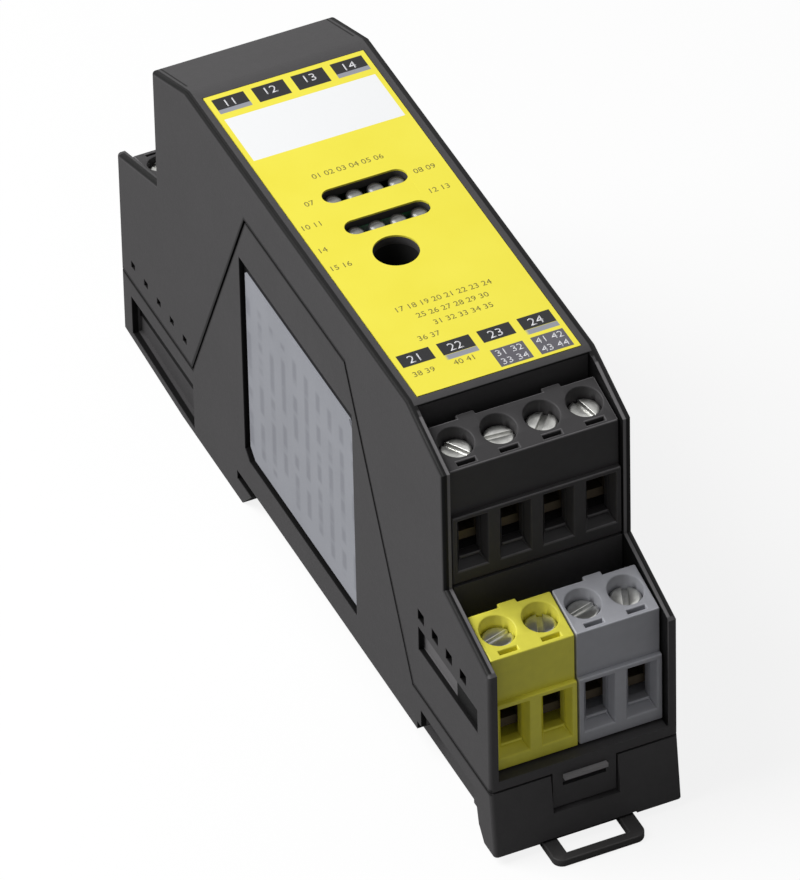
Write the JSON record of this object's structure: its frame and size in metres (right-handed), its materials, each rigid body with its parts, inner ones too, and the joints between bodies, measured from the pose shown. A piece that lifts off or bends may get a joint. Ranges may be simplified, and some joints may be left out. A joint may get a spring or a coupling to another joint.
{
  "type": "actuator-sensor interface safety module",
  "caption": "Slim rail-mounted safety module: stepped black housing, yellow front label with indicator slots, plug-in screw terminals and a sprung rail foot.",
  "frame": {"origin": "centre of the rail seat, on the face that lies on the rail's flanges", "axes": "+X across the width, +Y along the module's length to the hooked end, +Z away from the rail"},
  "size_m": [0.0226, 0.1034, 0.05],
  "materials": {
    "housing_black": "fine moulded grain, satin",
    "foot_black": "smooth moulded plastic",
    "header_black": "smooth moulded plastic",
    "plug_black": "smooth moulded plastic",
    "plug_yellow": "smooth moulded plastic",
    "plug_grey": "smooth moulded plastic",
    "label_yellow": "satin film",
    "label_grey": "satin film",
    "board_green": "glass fibre board",
    "chip_black": "moulded package",
    "coil_ferrite": "ferrite",
    "can_aluminium": "drawn can",
    "light_lens": "clear milky lens",
    "screw_steel": "zinc plated",
    "clamp_steel": "zinc plated",
    "contact_brass": "tinned",
    "spring_steel": "spring steel strip"
  },
  "bodies": {
    "housing": {"addressing_contact": "contact_brass", "addressing_socket": "header_black", "base_housing": "housing_black", "board_link": "header_black", "buffer_capacitors": "can_aluminium", "bus_chip": "chip_black", "controller_chip": "chip_black", "decoupling_coils": "coil_ferrite", "far_lower_header": "header_black", "far_lower_pins": "contact_brass", "foot_spring": "spring_steel", "front_board": "board_green", "front_label": "label_yellow", "main_board": "board_green", "near_lower_header": "header_black", "near_lower_pins": "contact_brass", "near_upper_header": "header_black", "near_upper_pins": "contact_brass", "output_drivers": "chip_black", "safety_lights": "light_lens", "status_lights": "light_lens", "type_label": "label_grey", "upper_housing": "housing_black"},
    "rail_foot": {"rail_foot": "foot_black"},
    "near_upper_plug": {"near_upper_plug": "plug_black", "near_upper_contacts": "contact_brass"},
    "near_upper_screw_1": {"near_upper_screw_1": "screw_steel"},
    "near_upper_clamp_1": {"near_upper_clamp_1": "clamp_steel"},
    "near_upper_screw_2": {"near_upper_screw_2": "screw_steel"},
    "near_upper_clamp_2": {"near_upper_clamp_2": "clamp_steel"},
    "near_upper_screw_3": {"near_upper_screw_3": "screw_steel"},
    "near_upper_clamp_3": {"near_upper_clamp_3": "clamp_steel"},
    "near_upper_screw_4": {"near_upper_screw_4": "screw_steel"},
    "near_upper_clamp_4": {"near_upper_clamp_4": "clamp_steel"},
    "near_left_plug": {"near_left_plug": "plug_yellow", "near_left_contacts": "contact_brass"},
    "near_left_screw_1": {"near_left_screw_1": "screw_steel"},
    "near_left_clamp_1": {"near_left_clamp_1": "clamp_steel"},
    "near_left_screw_2": {"near_left_screw_2": "screw_steel"},
    "near_left_clamp_2": {"near_left_clamp_2": "clamp_steel"},
    "near_right_plug": {"near_right_plug": "plug_grey", "near_right_contacts": "contact_brass"},
    "near_right_screw_1": {"near_right_screw_1": "screw_steel"},
    "near_right_clamp_1": {"near_right_clamp_1": "clamp_steel"},
    "near_right_screw_2": {"near_right_screw_2": "screw_steel"},
    "near_right_clamp_2": {"near_right_clamp_2": "clamp_steel"},
    "far_lower_plug": {"far_lower_plug": "plug_black", "far_lower_contacts": "contact_brass"},
    "far_lower_screw_1": {"far_lower_screw_1": "screw_steel"},
    "far_lower_clamp_1": {"far_lower_clamp_1": "clamp_steel"},
    "far_lower_screw_2": {"far_lower_screw_2": "screw_steel"},
    "far_lower_clamp_2": {"far_lower_clamp_2": "clamp_steel"},
    "far_lower_screw_3": {"far_lower_screw_3": "screw_steel"},
    "far_lower_clamp_3": {"far_lower_clamp_3": "clamp_steel"},
    "far_lower_screw_4": {"far_lower_screw_4": "screw_steel"},
    "far_lower_clamp_4": {"far_lower_clamp_4": "clamp_steel"}
  },
  "joints": [
    {"name": "foot_pull", "type": "slide", "parent": "housing", "child": "rail_foot", "axis": [0, -1, 0], "range_m": [0, 0.004], "stiffness_N_per_m": 800, "deforming": ["foot_spring"]},
    {"name": "near_upper_unplug", "type": "slide", "parent": "housing", "child": "near_upper_plug", "axis": [0, -1, 0], "range_m": [0, 0.012]},
    {"name": "near_upper_screw_1_turn", "type": "hinge", "parent": "near_upper_plug", "child": "near_upper_screw_1", "pos_m": [-0.00762, -0.0341, 0.0405], "axis": [0, 0, -1], "range_deg": [0, 1440]},
    {"name": "near_upper_clamp_1_rise", "type": "slide", "parent": "near_upper_plug", "child": "near_upper_clamp_1", "axis": [0, 0, 1], "range_m": [0, 0.002]},
    {"name": "near_upper_screw_2_turn", "type": "hinge", "parent": "near_upper_plug", "child": "near_upper_screw_2", "pos_m": [-0.00254, -0.0341, 0.0405], "axis": [0, 0, -1], "range_deg": [0, 1440]},
    {"name": "near_upper_clamp_2_rise", "type": "slide", "parent": "near_upper_plug", "child": "near_upper_clamp_2", "axis": [0, 0, 1], "range_m": [0, 0.002]},
    {"name": "near_upper_screw_3_turn", "type": "hinge", "parent": "near_upper_plug", "child": "near_upper_screw_3", "pos_m": [0.00254, -0.0341, 0.0405], "axis": [0, 0, -1], "range_deg": [0, 1440]},
    {"name": "near_upper_clamp_3_rise", "type": "slide", "parent": "near_upper_plug", "child": "near_upper_clamp_3", "axis": [0, 0, 1], "range_m": [0, 0.002]},
    {"name": "near_upper_screw_4_turn", "type": "hinge", "parent": "near_upper_plug", "child": "near_upper_screw_4", "pos_m": [0.00762, -0.0341, 0.0405], "axis": [0, 0, -1], "range_deg": [0, 1440]},
    {"name": "near_upper_clamp_4_rise", "type": "slide", "parent": "near_upper_plug", "child": "near_upper_clamp_4", "axis": [0, 0, 1], "range_m": [0, 0.002]},
    {"name": "near_left_unplug", "type": "slide", "parent": "housing", "child": "near_left_plug", "axis": [0, -1, 0], "range_m": [0, 0.012]},
    {"name": "near_left_screw_1_turn", "type": "hinge", "parent": "near_left_plug", "child": "near_left_screw_1", "pos_m": [-0.00762, -0.0441, 0.0215], "axis": [0, 0, -1], "range_deg": [0, 1440]},
    {"name": "near_left_clamp_1_rise", "type": "slide", "parent": "near_left_plug", "child": "near_left_clamp_1", "axis": [0, 0, 1], "range_m": [0, 0.002]},
    {"name": "near_left_screw_2_turn", "type": "hinge", "parent": "near_left_plug", "child": "near_left_screw_2", "pos_m": [-0.00254, -0.0441, 0.0215], "axis": [0, 0, -1], "range_deg": [0, 1440]},
    {"name": "near_left_clamp_2_rise", "type": "slide", "parent": "near_left_plug", "child": "near_left_clamp_2", "axis": [0, 0, 1], "range_m": [0, 0.002]},
    {"name": "near_right_unplug", "type": "slide", "parent": "housing", "child": "near_right_plug", "axis": [0, -1, 0], "range_m": [0, 0.012]},
    {"name": "near_right_screw_1_turn", "type": "hinge", "parent": "near_right_plug", "child": "near_right_screw_1", "pos_m": [0.00254, -0.0441, 0.0215], "axis": [0, 0, -1], "range_deg": [0, 1440]},
    {"name": "near_right_clamp_1_rise", "type": "slide", "parent": "near_right_plug", "child": "near_right_clamp_1", "axis": [0, 0, 1], "range_m": [0, 0.002]},
    {"name": "near_right_screw_2_turn", "type": "hinge", "parent": "near_right_plug", "child": "near_right_screw_2", "pos_m": [0.00762, -0.0441, 0.0215], "axis": [0, 0, -1], "range_deg": [0, 1440]},
    {"name": "near_right_clamp_2_rise", "type": "slide", "parent": "near_right_plug", "child": "near_right_clamp_2", "axis": [0, 0, 1], "range_m": [0, 0.002]},
    {"name": "far_lower_unplug", "type": "slide", "parent": "housing", "child": "far_lower_plug", "axis": [0, 1, 0], "range_m": [0, 0.012]},
    {"name": "far_lower_screw_1_turn", "type": "hinge", "parent": "far_lower_plug", "child": "far_lower_screw_1", "pos_m": [-0.00762, 0.0441, 0.0215], "axis": [0, 0, -1], "range_deg": [0, 1440]},
    {"name": "far_lower_clamp_1_rise", "type": "slide", "parent": "far_lower_plug", "child": "far_lower_clamp_1", "axis": [0, 0, 1], "range_m": [0, 0.002]},
    {"name": "far_lower_screw_2_turn", "type": "hinge", "parent": "far_lower_plug", "child": "far_lower_screw_2", "pos_m": [-0.00254, 0.0441, 0.0215], "axis": [0, 0, -1], "range_deg": [0, 1440]},
    {"name": "far_lower_clamp_2_rise", "type": "slide", "parent": "far_lower_plug", "child": "far_lower_clamp_2", "axis": [0, 0, 1], "range_m": [0, 0.002]},
    {"name": "far_lower_screw_3_turn", "type": "hinge", "parent": "far_lower_plug", "child": "far_lower_screw_3", "pos_m": [0.00254, 0.0441, 0.0215], "axis": [0, 0, -1], "range_deg": [0, 1440]},
    {"name": "far_lower_clamp_3_rise", "type": "slide", "parent": "far_lower_plug", "child": "far_lower_clamp_3", "axis": [0, 0, 1], "range_m": [0, 0.002]},
    {"name": "far_lower_screw_4_turn", "type": "hinge", "parent": "far_lower_plug", "child": "far_lower_screw_4", "pos_m": [0.00762, 0.0441, 0.0215], "axis": [0, 0, -1], "range_deg": [0, 1440]},
    {"name": "far_lower_clamp_4_rise", "type": "slide", "parent": "far_lower_plug", "child": "far_lower_clamp_4", "axis": [0, 0, 1], "range_m": [0, 0.002]}
  ],
  "couplings": [
    {"joint": "near_upper_screw_1_turn", "follows": "near_upper_clamp_1_rise", "rad_per_m": 12566},
    {"joint": "near_upper_screw_2_turn", "follows": "near_upper_clamp_2_rise", "rad_per_m": 12566},
    {"joint": "near_upper_screw_3_turn", "follows": "near_upper_clamp_3_rise", "rad_per_m": 12566},
    {"joint": "near_upper_screw_4_turn", "follows": "near_upper_clamp_4_rise", "rad_per_m": 12566},
    {"joint": "near_left_screw_1_turn", "follows": "near_left_clamp_1_rise", "rad_per_m": 12566},
    {"joint": "near_left_screw_2_turn", "follows": "near_left_clamp_2_rise", "rad_per_m": 12566},
    {"joint": "near_right_screw_1_turn", "follows": "near_right_clamp_1_rise", "rad_per_m": 12566},
    {"joint": "near_right_screw_2_turn", "follows": "near_right_clamp_2_rise", "rad_per_m": 12566},
    {"joint": "far_lower_screw_1_turn", "follows": "far_lower_clamp_1_rise", "rad_per_m": 12566},
    {"joint": "far_lower_screw_2_turn", "follows": "far_lower_clamp_2_rise", "rad_per_m": 12566},
    {"joint": "far_lower_screw_3_turn", "follows": "far_lower_clamp_3_rise", "rad_per_m": 12566},
    {"joint": "far_lower_screw_4_turn", "follows": "far_lower_clamp_4_rise", "rad_per_m": 12566}
  ]
}
